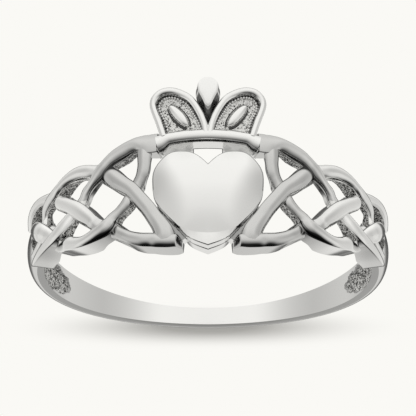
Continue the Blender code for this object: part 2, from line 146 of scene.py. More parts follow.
# Each strand's middle line, as shares: how far out along the knot, how far up towards the
# crown, how wide, how it weaves (-1 under another strand, 1 over it), and where its underside is
STRANDS = {
    "shoulder_strand": (
        (0.184, 0.668, 1.42, 0.5, 0.35),
        (0.214, 0.670, 1.42, 0.45, 0.43),
        (0.238, 0.690, 1.20, 0.4, 0.43),
        (0.263, 0.693, 0.96, 0.4, 0.43),
        (0.293, 0.659, 0.94, 0.4, 0.43),
        (0.320, 0.612, 0.96, 0.5, 0.36),
        (0.349, 0.553, 0.91, 0.7, 0.39),
        (0.372, 0.485, 0.81, 0.9, 0.49),
        (0.394, 0.408, 0.82, 1.0, 0.59),
        (0.418, 0.336, 0.93, 0.8, 0.70),
        (0.440, 0.262, 0.72, 0.5, 0.62),
        (0.466, 0.193, 0.65, 0.1, 0.54),
        (0.490, 0.133, 0.77, -0.2, 0.50),
        (0.510, 0.045, 0.78, -0.5, 0.45),
        (0.540, -0.036, 0.78, -0.6, 0.43),
        (0.570, -0.149, 0.86, -0.1, 0.41),
        (0.597, -0.254, 0.94, 0.5, 0.43),
        (0.625, -0.336, 0.96, 0.9, 0.36),
        (0.659, -0.398, 0.92, 1.0, 0.36),
        (0.710, -0.440, 0.84, 0.9, 0.20),
        (0.765, -0.480, 0.72, 0.8, 0.00),
        (0.812, -0.505, 0.58, 0.6, -0.10),
        (0.845, -0.515, 0.42, 0.4, -0.20),
        (0.868, -0.510, 0.20, 0.2, -0.20),
    ),
    "heart_side_strand": (
        (0.230, 0.770, 1.30, -0.2, 0.41),
        (0.231, 0.670, 1.24, 0.1, 0.35),
        (0.233, 0.580, 1.12, 0.3, 0.30),
        (0.235, 0.458, 0.96, 0.3, 0.30),
        (0.237, 0.348, 0.90, 0.1, 0.30),
        (0.243, 0.248, 0.86, -0.1, 0.41),
        (0.253, 0.161, 0.81, -0.4, 0.41),
        (0.268, 0.064, 0.83, -0.6, 0.41),
        (0.285, -0.051, 0.83, -0.5, 0.41),
        (0.302, -0.184, 0.78, -0.1, 0.41),
        (0.318, -0.263, 0.68, 0.0, 0.41),
        (0.340, -0.347, 0.64, 0.1, 0.45),
        (0.361, -0.424, 0.77, 0.4, 0.43),
        (0.374, -0.501, 0.94, 0.8, 0.36),
        (0.393, -0.565, 0.97, 1.0, 0.29),
        (0.428, -0.613, 0.86, 0.9, 0.22),
        (0.467, -0.647, 0.74, 0.6, 0.00),
        (0.505, -0.653, 0.74, 0.4, -0.10),
        (0.549, -0.618, 0.88, 0.2, -0.10),
        (0.596, -0.552, 1.04, 0.0, -0.10),
        (0.661, -0.490, 0.92, -1.0, -0.10),
        (0.732, -0.257, 1.10, -0.3, 0.10),
        (0.774, -0.135, 1.30, 0.9, 0.20),
        (0.827, -0.020, 1.32, 0.7, 0.00),
        (0.881, 0.080, 1.20, 0.2, -0.20),
        (0.952, 0.180, 0.90, -0.5, -0.20),
    ),
    "diagonal_strand": (
        (0.158, -0.900, 1.50, 0.4, 0.20),
        (0.160, -0.830, 1.44, 0.7, 0.40),
        (0.165, -0.745, 1.31, 0.8, 0.60),
        (0.179, -0.633, 1.16, 0.8, 0.81),
        (0.197, -0.520, 1.07, 0.8, 0.83),
        (0.214, -0.403, 1.05, 1.0, 0.90),
        (0.234, -0.292, 1.04, 1.0, 0.94),
        (0.256, -0.173, 1.03, 1.0, 0.94),
        (0.284, -0.035, 1.06, 1.0, 0.70),
        (0.316, 0.068, 1.14, 0.9, 0.50),
        (0.342, 0.155, 1.22, 0.8, 0.40),
        (0.362, 0.226, 1.27, 0.65, 0.30),
        (0.380, 0.286, 1.32, 0.4, 0.20),
        (0.396, 0.340, 1.34, -0.05, 0.20),
        (0.412, 0.385, 1.20, -0.7, 0.30),
        (0.448, 0.426, 0.88, -0.1, 0.50),
        (0.475, 0.447, 0.93, 0.2, 0.60),
        (0.514, 0.475, 0.94, 0.3, 0.58),
        (0.549, 0.471, 0.89, 0.4, 0.48),
        (0.579, 0.440, 0.76, 0.6, 0.40),
        (0.602, 0.396, 0.66, 0.8, 0.36),
        (0.623, 0.338, 0.62, 1.0, 0.36),
        (0.653, 0.292, 0.75, 0.9, 0.44),
        (0.692, 0.262, 0.78, 0.6, 0.48),
        (0.727, 0.220, 0.78, 0.3, 0.47),
        (0.751, 0.168, 0.70, 0.0, 0.43),
        (0.783, 0.050, 0.60, -0.7, 0.20),
        (0.815, -0.100, 0.62, -1.0, 0.10),
        (0.850, -0.225, 0.60, -0.6, 0.00),
        (0.915, -0.286, 0.60, -0.3, -0.20),
    ),
    "lower_strand": (
        (0.098, -0.925, 0.56, -2.6, -0.20),
        (0.107, -0.920, 0.72, -0.9, -0.20),
        (0.116, -0.915, 0.84, 0.2, -0.20),
        (0.130, -0.911, 0.88, 0.3, -0.20),
        (0.150, -0.905, 0.91, 0.3, -0.20),
        (0.186, -0.886, 0.91, 0.3, -0.10),
        (0.212, -0.863, 0.90, 0.2, 0.01),
        (0.248, -0.839, 0.88, 0.2, -0.01),
        (0.284, -0.789, 0.84, 0.1, -0.15),
        (0.311, -0.729, 0.80, 0.0, -0.15),
        (0.338, -0.659, 0.87, -0.3, -0.15),
        (0.364, -0.575, 1.05, -0.6, 0.00),
        (0.396, -0.524, 0.96, -0.3, 0.10),
        (0.422, -0.481, 0.91, 0.4, 0.25),
        (0.440, -0.427, 0.99, 1.0, 0.35),
        (0.465, -0.335, 1.11, 1.0, 0.40),
        (0.497, -0.224, 1.22, 1.0, 0.40),
        (0.530, -0.115, 1.20, 0.9, 0.40),
        (0.571, -0.002, 1.09, 0.7, 0.35),
        (0.614, 0.098, 1.04, 0.6, 0.25),
        (0.640, 0.165, 1.08, 0.45, 0.20),
        (0.656, 0.205, 1.04, -0.6, 0.15),
        (0.675, 0.255, 0.92, -1.0, 0.12),
        (0.700, 0.320, 0.84, -0.9, 0.10),
        (0.750, 0.388, 0.66, -0.4, 0.10),
        (0.823, 0.400, 0.56, 0.3, 0.00),
        (0.910, 0.355, 0.54, 0.4, -0.10),
        (1.012, 0.290, 0.50, 0.0, -0.20),
    ),
}

# The heart's right half from cusp to tip, as shares of its half width and its height
HEART_OUTLINE = (
    (0.000, 0.819), (0.193, 0.938), (0.405, 1.000), (0.671, 0.994), (0.869, 0.909), (0.985, 0.800),
    (1.000, 0.664), (0.960, 0.502), (0.795, 0.364), (0.560, 0.214), (0.315, 0.076), (0.000, 0.000),
)

# A crown lobe's rim from the bar's end round to the middle, as shares of its width and height
LOBE_RIM = (
    (0.760, 0.000), (0.845, 0.320), (0.930, 0.610), (0.948, 0.760), (0.905, 0.890), (0.795, 0.985),
    (0.640, 1.000), (0.470, 0.930), (0.300, 0.790), (0.160, 0.530), (0.070, 0.260), (0.030, 0.000),
)

# The finial's right half from its top to its point, as shares of its half width and height
FINIAL_OUTLINE = (
    (0.00, 0.00), (0.45, 0.03), (0.86, 0.14), (1.00, 0.28), (0.92, 0.43), (0.66, 0.66), (0.36, 0.88),
    (0.00, 1.00),
)

# How many stations each row of a strand gets
ROW_STEPS = 9

# Where each strand's lower wall was left as cast, darkened with painted shade, as shares of the knot's
# length
CAST_WALLS = {
    "shoulder_strand": ((0.245, 0.37), (0.55, 0.64)),
    "heart_side_strand": ((0.29, 0.365),),
    "diagonal_strand": ((0.43, 1.0),),
    "lower_strand": ((0.60, 1.1),),
}

# Where each strand has a steep flank below its cap: start, fullest and end as shares of the
# knot's length, and its height
FLANKS = {
    "shoulder_strand": ((0.245, 0.37, 0.54, 0.17 * MM),),
    "heart_side_strand": ((0.33, 0.40, 0.49, 0.13 * MM),),
    "diagonal_strand": ((0.47, 0.53, 0.66, 0.05 * MM),),
    "lower_strand": ((0.11, 0.21, 0.34, 0.04 * MM), (0.42, 0.46, 0.50, 0.05 * MM)),
}

# How large each ring of the heart's dome is, from its border to its middle
DOME_SIZES = (1.0, 0.995, 0.985, 0.965, 0.94, 0.91, 0.87, 0.83, 0.78, 0.73, 0.68, 0.62, 0.56, 0.50,
              0.44, 0.38, 0.32, 0.26, 0.20, 0.14, 0.08)

# The same for a crown lobe's floor
LOBE_FLOOR_SIZES = (0.97, 0.94, 0.91, 0.88, 0.85, 0.81, 0.77, 0.73, 0.68, 0.63, 0.57, 0.51, 0.45,
                    0.38, 0.31, 0.24, 0.17, 0.10)

# Each finish's place in FINISHES, which is filled before the pieces are made
POLISHED, CAST_PAINTED_SHADE, INNER_PAINTED_SHADE, PAINTED_DEEP_SHADE, SHADED, OUTER_PAINTED_SHADE, BRIGHT_CAST, SIDE = range(8)

# The stretches of a cap section, counted from its lower foot round over its cap
LOWER_WALL, LOWER_EDGE, FLANK, LOW_CAP = 0, 3, 4, (5, 6)
UPPER_EDGE, UPPER_WALL, UNDERSIDE = (21, 22), 24, 25

# The stretches of a rim's section that carry painted shade: both its sides, and its upper edge
RIM_SIDES, RIM_UPPER_EDGE = (0, 1, 2, 19, 20), 18

# How bright the tent is by the angle from the camera down past the ring, in its middle and sides
TENT_MIDDLE = ((-180, 0.60), (-130, 0.85), (-90, 1.00), (-50, 0.97), (-16, 0.84), (2, 0.66), (22, 0.40),
               (44, 0.15), (57, 0.02), (102, 0.01), (114, 0.45), (130, 0.80), (165, 0.80))
TENT_SIDE = ((-180, 0.66), (-90, 0.55), (-30, 0.63), (0, 0.70), (40, 0.74), (90, 0.76), (140, 0.66),
             (175, 0.66))


def between(a, b, share):
    return a + (b - a) * share


def ease(share):
    share = max(0.0, min(1.0, share))
    return share * share * (3 - 2 * share)


def curve_through(rows, steps):
    """A smooth curve through the rows, with steps stretches between each pair."""
    last = len(rows) - 1
    result = []
    for i in range(last):
        before, start, end, after = rows[max(i - 1, 0)], rows[i], rows[i + 1], rows[min(i + 2, last)]
        for step in range(steps):
            t = step / steps
            result.append(tuple(
                0.5 * (2 * q + (r - p) * t + (2 * p - 5 * q + 4 * r - s) * t ** 2
                       + (3 * q - p - 3 * r + s) * t ** 3)
                for p, q, r, s in zip(before, start, end, after)))
    result.append(tuple(rows[last]))
    return result


def knot_thickness(out):
    return between(HEAD_THICKNESS, SHANK_SIDE_THICKNESS, min(out, 1.0) ** 2)


def rolled(x, y, z):
    """A flat place rolled round the finger and set down as the ring rests."""
    around = x / LAYOUT_RADIUS
    radius = BORE_RADIUS + z
    return REST @ Vector((radius * math.cos(around), radius * math.sin(around), y))


# ---------------------------------------------------------------- camera, light and floor

def picture_ways():
    """The ways towards the camera, to the ring's side, and up in the picture."""
    turn = REST.to_3x3()
    heart_way, side_way, crown_way = (turn @ Vector(v) for v in ((1, 0, 0), (0, 1, 0), (0, 0, 1)))
    toward = math.cos(CAMERA_TILT) * heart_way - math.sin(CAMERA_TILT) * crown_way
    upward = math.sin(CAMERA_TILT) * heart_way + math.cos(CAMERA_TILT) * crown_way
    return toward, side_way, upward


def set_camera():
    """Looks at the heart from its point's side, with the ring standing upright in the picture."""
    toward, _, upward = picture_ways()
    middle = REST.translation
    place = middle + toward * CAMERA_DISTANCE
    aim = middle + upward * ((HOLE_MIDDLE_ROW - PICTURE_PIXELS / 2) / PIXELS_PER_MM * MM)
    back = (place - aim).normalized()
    up = (upward - back * upward.dot(back)).normalized()
    right = up.cross(back)
    view = Matrix((right, up, back)).transposed().to_4x4()
    view.translation = place
    data = bpy.data.cameras.new("picture_camera")
    camera = bpy.data.objects.new("picture_camera", data)
    bpy.context.scene.collection.objects.link(camera)
    camera.matrix_world = view
    data.sensor_width = SENSOR_WIDTH
    data.lens = SENSOR_WIDTH * PIXELS_PER_MM * (CAMERA_DISTANCE / MM) / PICTURE_PIXELS
    data.clip_start = 0.01
    data.clip_end = 5
    bpy.context.scene.camera = camera


# ---------------------------------------------------------------- shader wiring

class Wire:
    """One socket, with arithmetic that adds its Math nodes."""

    def __init__(self, tree, socket):
        self.tree, self.socket = tree, socket

    def _math(self, operation, *values):
        node = self.tree.nodes.new("ShaderNodeMath")
        node.operation = operation
        for slot, value in zip(node.inputs, values):
            plug(self.tree, slot, value)
        return Wire(self.tree, node.outputs[0])

    def __add__(self, other):
        return self._math("ADD", self, other)

    __radd__ = __add__

    def __sub__(self, other):
        return self._math("SUBTRACT", self, other)

    def __rsub__(self, other):
        return self._math("SUBTRACT", other, self)

    def __mul__(self, other):
        return self._math("MULTIPLY", self, other)

    __rmul__ = __mul__

    def __pow__(self, other):
        return self._math("POWER", self, other)


def plug(tree, slot, value):
    if isinstance(value, Wire):
        tree.links.new(value.socket, slot)
    else:
        slot.default_value = value


class Finish:
    """A material's or the studio's node tree, emptied and ready to be wired."""

    def __init__(self, tree):
        self.tree = tree
        tree.nodes.clear()

    def node(self, kind, settings=None, out=0, **sockets):
        """Adds a node, makes its settings, and fills its sockets, named by their names or, as
        i0, i1 and so on, by their places. Gives its output socket of the place in out."""
        made = self.tree.nodes.new(kind)
        for name, value in (settings or {}).items():
            if name == "stops":
                ramp = made.color_ramp
                while len(ramp.elements) < len(value):
                    ramp.elements.new(0.5)
                for element, (place, colour) in zip(ramp.elements, value):
                    element.position = place
                    element.color = colour
            else:
                setattr(made, name, value)
        for name, value in sockets.items():
            by_place = name[0] == "i" and name[1:].isdigit()
            slot = made.inputs[int(name[1:]) if by_place else name.replace("_", " ")]
            plug(self.tree, slot, value)
        return Wire(self.tree, made.outputs[out]) if len(made.outputs) else None


def own_place(wire):
    """The place on the piece, in metres."""
    return wire.node("ShaderNodeTexCoord", out=3)


def x_and_y(wire, vector):
    first = wire.node("ShaderNodeSeparateXYZ", i0=vector)
    return [Wire(wire.tree, socket) for socket in first.socket.node.outputs[:2]]


def eased(wire, value, start, end):
    """0 at start, 1 at end, and smooth between them."""
    return wire.node("ShaderNodeMapRange", {"interpolation_type": "SMOOTHSTEP"},
                     i0=value, i1=start, i2=end, i3=0.0, i4=1.0)


def noise_3d(wire, place, scale, detail, **more):
    return wire.node("ShaderNodeTexNoise", {"noise_dimensions": "3D"},
                     Vector=place, Scale=scale, Detail=detail, **more)


def new_material(name):
    material = bpy.data.materials.new(name)
    material.use_nodes = True
    return material, Finish(material.node_tree)


def polished_white_metal(name, shade, outer=None, reach=(4.6 * MM, 7.2 * MM)):
    """Buffed bright: almost a mirror, with a faint haze and the finest buffing lines. Where the
    piece stands out to the sides, between the two places in reach, its shade turns to outer: a
    painted shade and light that stands in for how reflections fall across the ring."""
    material, wire = new_material(name)
    place = own_place(wire)
    haze = noise_3d(wire, place, HAZE_WAVES, 3.0)
    buffing = noise_3d(wire, place, BUFFING_WAVES, 2.0)
    bump = wire.node("ShaderNodeBump", Height=haze + buffing * 0.15, Strength=0.10,
                     Distance=0.004 * MM)
    colour = (shade, shade, shade * 0.995, 1.0)
    if outer:
        x, _ = x_and_y(wire, place)
        share = eased(wire, (x * x) ** 0.5, *reach)
        colour = wire.node("ShaderNodeMix", {"data_type": "RGBA"}, out=2,
                           i0=share, i6=colour, i7=(outer, outer, outer * 0.995, 1.0))
    shader = wire.node("ShaderNodeBsdfPrincipled", Base_Color=colour, Metallic=1.0,
                       Roughness=0.055 + haze * 0.07 + buffing * 0.02, Normal=bump)
    wire.node("ShaderNodeOutputMaterial", Surface=shader)
    return material


def cast_skin_painted_shade(name, pits, grain_tone, peaks):
    """The metal as it left the mould, in the recesses that no polishing mop reaches: its grain and
    bumps are the cast skin, and its near-black pits and dark grain tone are painted shade in those
    recesses. The last three are where the pits, the grain and the peaks begin, as shares of the
    roughness."""
    material, wire = new_material(name)
    place = own_place(wire)
    grain = wire.node("ShaderNodeTexVoronoi", {"feature": "F1"},
                      Vector=place, Scale=GRAIN_WAVES, Randomness=1.0)
    lumps = noise_3d(wire, place, LUMP_WAVES, 4.0, Roughness=0.6)
    mask = lumps * 0.8 + grain * 0.5
    stops = [(pits, (0.03, 0.03, 0.03, 1)), (grain_tone, (0.27, 0.27, 0.265, 1)),
             (peaks, (0.90, 0.90, 0.89, 1))]
    tone = wire.node("ShaderNodeValToRGB", {"stops": stops}, Fac=mask)
    bump = wire.node("ShaderNodeBump", Height=mask, Strength=0.9, Distance=0.06 * MM)
    shader = wire.node("ShaderNodeBsdfPrincipled", Base_Color=tone, Metallic=1.0,
                       Roughness=0.38 + lumps * 0.2, Normal=bump)
    wire.node("ShaderNodeOutputMaterial", Surface=shader)
    return material


def pale_floor():
    """The table: bright all over, and matt only where the back of the shank throws its shadow."""
    bpy.ops.object.select_all(action="DESELECT")
    bpy.ops.mesh.primitive_plane_add(size=FLOOR_SIZE, location=(0, 0, 0))
    floor = bpy.context.object
    floor.name = "pale_floor"
    floor.visible_glossy = False
    material, wire = new_material("pale_floor")
    x, y = x_and_y(wire, own_place(wire))
    far = (x * (1 / PATCH_HALF_LENGTH)) ** 2.0 + ((y - PATCH_MIDDLE) * (1 / PATCH_HALF_DEPTH)) ** 2.0
    near = wire.node("ShaderNodeMapRange", i0=far, i1=1.0, i2=0.0, i3=0.0, i4=1.035) ** 4.0
    glow = wire.node("ShaderNodeEmission", Color=FLOOR_GLOW, Strength=1.0)
    matt = wire.node("ShaderNodeBsdfDiffuse", Color=FLOOR_MATT)
    mixed = wire.node("ShaderNodeMixShader", i0=near, i1=glow, i2=matt)
    wire.node("ShaderNodeOutputMaterial", Surface=mixed)
    floor.data.materials.append(material)


def studio():
    """A white tent, darker to the sides and right behind the ring, with a black card over the
    far side of the table, and one soft light."""
    front, side_way, top = picture_ways()
    world = bpy.data.worlds.new("white_tent")
    bpy.context.scene.world = world
    world.use_nodes = True
    wire = Finish(world.node_tree)
    way = wire.node("ShaderNodeTexCoord", out=0)

    def toward(direction):
        return wire.node("ShaderNodeVectorMath", {"operation": "DOT_PRODUCT"}, out=1,
                         i0=way, i1=direction)

    def band(levels):
        stops = [((degrees + 180) / 360, (level, level, level, 1)) for degrees, level in levels]
        return wire.node("ShaderNodeValToRGB", {"stops": stops}, Fac=place)

    sideways = wire.node("ShaderNodeMath", {"operation": "ABSOLUTE"}, i0=toward(side_way))
    turned = wire.node("ShaderNodeMath", {"operation": "ARCTAN2"}, i0=toward(-top), i1=toward(front))
    place = turned * (0.5 / math.pi) + 0.5
    middle = band(TENT_MIDDLE)
    side = band(TENT_SIDE)
    # the sides take over from the middle, and the tent is dim right behind the ring
    share = eased(wire, sideways, 0.46, 0.94)
    behind = eased(wire, toward(front), -0.80, -0.94)
    level = wire.node("ShaderNodeMix", {"data_type": "FLOAT"}, i0=share, i2=middle, i3=side)
    tint = wire.node("ShaderNodeBackground", Color=TENT_TINT, Strength=level * (1.0 - behind * 0.82))
    wire.node("ShaderNodeOutputWorld", Surface=tint)

    data = bpy.data.lights.new("soft_key", "AREA")
    data.shape = "DISK"
    data.size = KEY_SIZE
    data.energy = KEY_POWER
    light = bpy.data.objects.new("soft_key", data)
    bpy.context.scene.collection.objects.link(light)
    light.visible_glossy = False
    aim = KEY_WAY.normalized()
    turned_to_ring = aim.to_track_quat("Z", "Y").to_matrix().to_4x4()
    light.matrix_world = Matrix.Translation(aim * KEY_DISTANCE) @ turned_to_ring


# ---------------------------------------------------------------- making pieces

def piece_from_rings(name, rings, finishes):
    """Joins flat rings of as many points each into one closed skin. finishes is one finish, or a
    function that gives it for the stretch k of the ring i, from its point k to the next one."""
    mesh = bmesh.new()
    rows = [[mesh.verts.new(point) for point in ring] for ring in rings]
    count = len(rows[0])
    for i, (low, high) in enumerate(zip(rows, rows[1:])):
        for k in range(count):
            j = (k + 1) % count
            face = mesh.faces.new((low[k], low[j], high[j], high[k]))
            face.material_index = finishes(i, k) if callable(finishes) else finishes
    mesh.faces.new(list(reversed(rows[0])))
    mesh.faces.new(rows[-1])
    bmesh.ops.recalc_face_normals(mesh, faces=mesh.faces)
    data = bpy.data.meshes.new(name)
    for material in FINISHES:
        data.materials.append(material)
    mesh.to_mesh(data)
    mesh.free()
    piece = bpy.data.objects.new(name, data)
    bpy.context.scene.collection.objects.link(piece)
    return piece


def cap_section(half_width, crest, foot, slope, fall=None, flank=0.0, undercut=0.0,
                edge=EDGE_ROUND, segments=16):
    """A cushioned cap with a fine rounded edge and straight walls. slope is how steep the cap
    ends on its upper side and fall on its lower side, in degrees; flank is the height of the
    steep flat that follows on the lower side, and undercut how much the wall there leans in."""
    high, low = math.radians(slope), math.radians(fall or slope)
    inner = half_width - edge
    lower_end = flank / math.tan(math.radians(FLANK_SLOPE)) - inner
    radius = (inner - lower_end) / (math.sin(high) + math.sin(low))
    middle = radius * math.sin(low) + lower_end
    arc = []
    for i in range(segments + 1):
        turn = between(-low, high, i / segments)
        arc.append((middle + radius * math.sin(turn), crest - radius * (1 - math.cos(turn))))
    arc.insert(0, (-inner, arc[0][1] - flank - 0.002 * MM))
    sides = []
    for (_, height), sign in ((arc[0], -1), (arc[-1], 1)):
        sides.append([(sign * (inner + edge * out), height - edge * down)
                      for out, down in ((0.62, 0.75), (0.95, 1.5), (1.0, 2.2))])
    foot_left = min(foot, sides[0][-1][1] - edge * 0.5)
    foot_right = min(foot, sides[1][-1][1] - edge * 0.5)
    lean_in = undercut * (sides[0][-1][1] - foot_left)
    return ([(-half_width + lean_in, foot_left)] + sides[0][::-1] + arc + sides[1]
            + [(half_width, foot_right)])


def beside(x, y, run, rise, across):
    """The place beside x, y, square to a path that goes by run and rise there."""
    length = math.hypot(run, rise)
    return x - rise / length * across, y + run / length * across


def swept(name, stations, finishes, section_of=cap_section):
    """A bar square to its path, which runs through stations of x, y, half width, crest, slope and
    foot, and for a cap section also fall, flank and undercut."""
    rings = []
    for i, (x, y, half_width, crest, slope, foot, *lower) in enumerate(stations):
        before = stations[max(i - 1, 0)]
        after = stations[min(i + 1, len(stations) - 1)]
        run, rise = after[0] - before[0], after[1] - before[1]
        section = section_of(half_width, crest, foot, slope, *lower)
        rings.append([(*beside(x, y, run, rise, across), height) for across, height in section])
    return piece_from_rings(name, rings, finishes)


def lower_side(name, out, up):
    """How steep a strand's cap ends on its lower side, and how much the wall there leans in."""
    if name == "shoulder_strand":
        fall = between(22, STRAND_FALL, ease((out - 0.235) / 0.07)) - 28 * ease((out - 0.56) / 0.08)
        return fall, 0.0
    if name == "heart_side_strand":
        fall = between(STRAND_FALL, 50, ease(up / 0.3)) - 26 * ease((out - 0.46) / 0.07)
        return fall, 0.36 * ease((up - 0.05) / 0.15)
    return STRAND_FALL, 0.0


def strand(name, rows, depth):
    """One strand of a plait. depth is the lowest its underside goes, a little different for each."""
    stations, cast = [], []
    for out, up, width, weave, underside in curve_through(rows, ROW_STEPS):
        half_width = STRAND_WIDTH * width / 2
        crest = knot_thickness(out) + STRAND_LIFT * weave
        foot = max(HEAD_THICKNESS * underside, depth)
        fall, undercut = lower_side(name, out, up)
        flank = max(height * ease((out - start) / (full - start)) * ease((end - out) / (end - full))
                    for start, full, end, height in FLANKS[name])
        cast.append(any(low <= out <= high for low, high in CAST_WALLS[name]))
        stations.append((KNOT_REACH * out, KNOT_RISE * up, half_width, crest, STRAND_SLOPE, foot,
                         fall, flank, undercut))

    # painted shade: the steep flank below the cap is painted near black for a dark reflection, the
    # cap's low end and the upper edge get painted dark lines, and the cast walls painted shade
    def finish(i, k):
        steep = stations[i][7]
        if k == FLANK and steep > 0.012 * MM:
            return PAINTED_DEEP_SHADE
        if k in LOW_CAP and steep > 0.06 * MM or k == LOW_CAP[0] and steep > 0.02 * MM:
            return SHADED
        # the heart-side strand has no painted dark line above its top, by the bar
        if k in UPPER_EDGE and not (name == "heart_side_strand" and i < 4 * ROW_STEPS):
            return SHADED
        # the shoulder strand's wall is bright metal again on its last third, low down, darkened there
        # with painted shade
        if k < FLANK and name == "shoulder_strand" and stations[i][0] > 0.67 * KNOT_REACH:
            return OUTER_PAINTED_SHADE
        return CAST_PAINTED_SHADE if k in (LOWER_WALL, UPPER_WALL) and cast[i] else INNER_PAINTED_SHADE

    return swept(name, stations, finish)


def mirrored(piece):
    """The same piece on the heart's other side."""
    data = piece.data.copy()
    for vert in data.vertices:
        vert.co.x = -vert.co.x
    data.flip_normals()
    other = bpy.data.objects.new(piece.name + "_left", data)
    bpy.context.scene.collection.objects.link(other)
    return other


def joined(name, pieces):
    bpy.ops.object.select_all(action="DESELECT")
    for piece in pieces:
        piece.select_set(True)
    bpy.context.view_layer.objects.active = pieces[0]
    bpy.ops.object.join()
    whole = bpy.context.object
    whole.name = name
    whole.data.name = name
    return whole


def finished(piece, already_round=False, angle=32):
    """Rolls a piece round the finger unless it is already round, shades it smooth by angle, and lets it
    ride.
    """
    if not already_round:
        for vert in piece.data.vertices:
            vert.co = rolled(*vert.co)
    bpy.ops.object.select_all(action="DESELECT")
    piece.select_set(True)
    bpy.context.view_layer.objects.active = piece
    bpy.ops.object.shade_smooth_by_angle(angle=math.radians(angle))
    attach(piece, "root")
    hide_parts("cast_ring")


def plaits():
    strands = [strand(name, rows, 0.004 * MM * i) for i, (name, rows) in enumerate(STRANDS.items())]
    others = [mirrored(piece) for piece in strands]
    finished(joined("right_plait", strands))
    finished(joined("left_plait", others))


# ---------------------------------------------------------------- heart

def whole_outline(rows, steps):
    """Both halves of an outline whose right half goes through the rows."""
    half = curve_through(rows, steps)
    return half + [(-across, along) for across, along in reversed(half[1:-1])]


def swelling(points, outline):
    """How deep each point lies inside the outline, smooth all over and 0 on the edge."""
    edge = np.array(outline)
    fine = []
    for a, b in zip(edge, np.roll(edge, -1, axis=0)):
        fine.extend(a + (b - a) * t for t in (np.arange(8) + 0.5) / 8)
    fine = np.array(fine)
    step = np.linalg.norm(np.roll(edge, -1, axis=0) - edge, axis=1).repeat(8) / 8
    points = np.array(points)
    gap = ((points[:, None, :] - fine[None, :, :]) ** 2).sum(axis=2)
    return math.pi / (step[None, :] / np.maximum(gap, (0.01 * MM) ** 2)).sum(axis=1)


def heart():
    half_width = HEART_WIDTH / 2
    middle = HEART_TIP + HEART_HEIGHT * 0.6
    rise = HEART_CREST - HEART_EDGE_HEIGHT

    def placed(rows):
        return [(across * half_width, HEART_TIP + up * HEART_HEIGHT)
                for across, up in whole_outline(rows, 14)]

    def grown(by):
        share = 1 + by / half_width
        return [(x * share, middle + (y - middle) * share) for x, y in outline]

    outline = placed(HEART_OUTLINE)
    # the dome swells as if the cusp were filled, and ends where the flat at the tip begins
    filled = placed(((0.000, 1.03), (0.193, 1.03)) + HEART_OUTLINE[2:-2]
                    + ((0.455, 0.172), (0.300, 0.142), (0.150, 0.124), (0.000, 0.117)))
    inner = []
    for x, y in outline:
        share = 1 - HEART_CHAMFER / math.hypot(x, y - middle)
        inner_x, inner_y = x * share, middle + (y - middle) * share
        if y < middle:
            inner_y = max(inner_y, HEART_TIP + TIP_FLAT + 0.26 * MM * (inner_x / (1.15 * MM)) ** 2)
        inner.append((inner_x, inner_y))
    tip_gap = [max(0.0, math.hypot(ix - x, iy - y) - HEART_CHAMFER)
               for (x, y), (ix, iy) in zip(outline, inner)]
    lifts = [0.03 * MM + 0.11 * gap for gap in tip_gap]

    flat = [[(x * size, middle + (y - middle) * size) for x, y in inner] for size in DOME_SIZES]
    deep = swelling([point for ring in flat for point in ring] + [(0.0, middle)], filled)
    dome = rise * deep / deep.max()
    skirt = ((HEART_SKIRT, 0.002 * MM), (HEART_SKIRT, HEART_SKIRT_HEIGHT - 0.05 * MM),
             (HEART_SKIRT * 0.9, HEART_SKIRT_HEIGHT - 0.01 * MM),
             (HEART_SKIRT * 0.2, HEART_SKIRT_HEIGHT + 0.03 * MM))
    rings = [[(x, y, height) for x, y in grown(by)] for by, height in skirt]
    # the wall's top and its fine rounded edge follow the dome where the cusp cuts into it
    for drop, by in ((0.13, 0.0), (0.09, -0.004), (0.05, -0.015), (0.018, -0.034)):
        rings.append([
            (x, y, HEART_EDGE_HEIGHT + (dome[i] if outline[i][1] > middle else 0.0) - drop * MM)
            for i, (x, y) in enumerate(grown(by * MM))])
    for k, (size, ring) in enumerate(zip(DOME_SIZES, flat)):
        row = []
        for i, (x, y) in enumerate(ring):
            lift = lifts[i] * size ** 3
            height = HEART_EDGE_HEIGHT + lift + dome[k * len(inner) + i] * (rise - lift) / rise
            row.append((x, y, height))
        rings.append(row)

    # a fine painted dark line of shade along the edge, wider round the lobes, and none along the flat
    # at the tip
    def finish(i, k):
        last = 9 if outline[k][1] > middle else 7
        return SHADED if 6 <= i <= last and tip_gap[k] < 0.02 * MM else POLISHED

    finished(piece_from_rings("heart", rings, finish), angle=28)


# ---------------------------------------------------------------- crown

def bar_line(x):
    return BAR_MIDDLE - BAR_SAG * (x / (BAR_LENGTH / 2)) ** 2


def crown_bar():
    """The sagging bar that the lobes stand on, flared at its ends, and its foot."""
    stations, steps = [], 60
    for i in range(steps + 1):
        x = BAR_LENGTH * (i / steps - 0.5)
        flare = BAR_FLARE * ease((abs(x) - 2.0 * MM) / (0.7 * MM))
        stations.append((x, bar_line(x) - flare, BAR_WIDTH / 2 + flare * 0.85, CROWN_CREST, 60,
                         CROWN_FOOT + 0.06 * MM, 74, 0.03 * MM))

    # painted shade: a dark line along the bar's lower edge and flank, deepest in its middle, and
    # painted shade on its underside
    def finish(i, k):
        if k == UNDERSIDE:
            return CAST_PAINTED_SHADE
        middle = abs(stations[i][0]) < 1.15 * MM
        if k in (LOWER_EDGE, FLANK) or k == LOW_CAP[0] and middle:
            return PAINTED_DEEP_SHADE if middle or k == FLANK else SHADED
        return SHADED if k in LOW_CAP else POLISHED

    # the foot under the bar is painted deep shade
    foot = [(x, y, BAR_WIDTH / 2 - 0.004 * MM, CROWN_FOOT + 0.12 * MM, 20, CROWN_FOOT)
            for x, y, *_ in stations]
    return [swept("crown_bar", stations, finish), swept("bar_foot", foot, PAINTED_DEEP_SHADE)]


def lobe_path():
    """The right lobe's rim, from the bar's end round to the middle."""
    return [(LOBE_WIDTH * out, BAR_MIDDLE + LOBE_HEIGHT * up)
            for out, up in curve_through(LOBE_RIM, 8)]


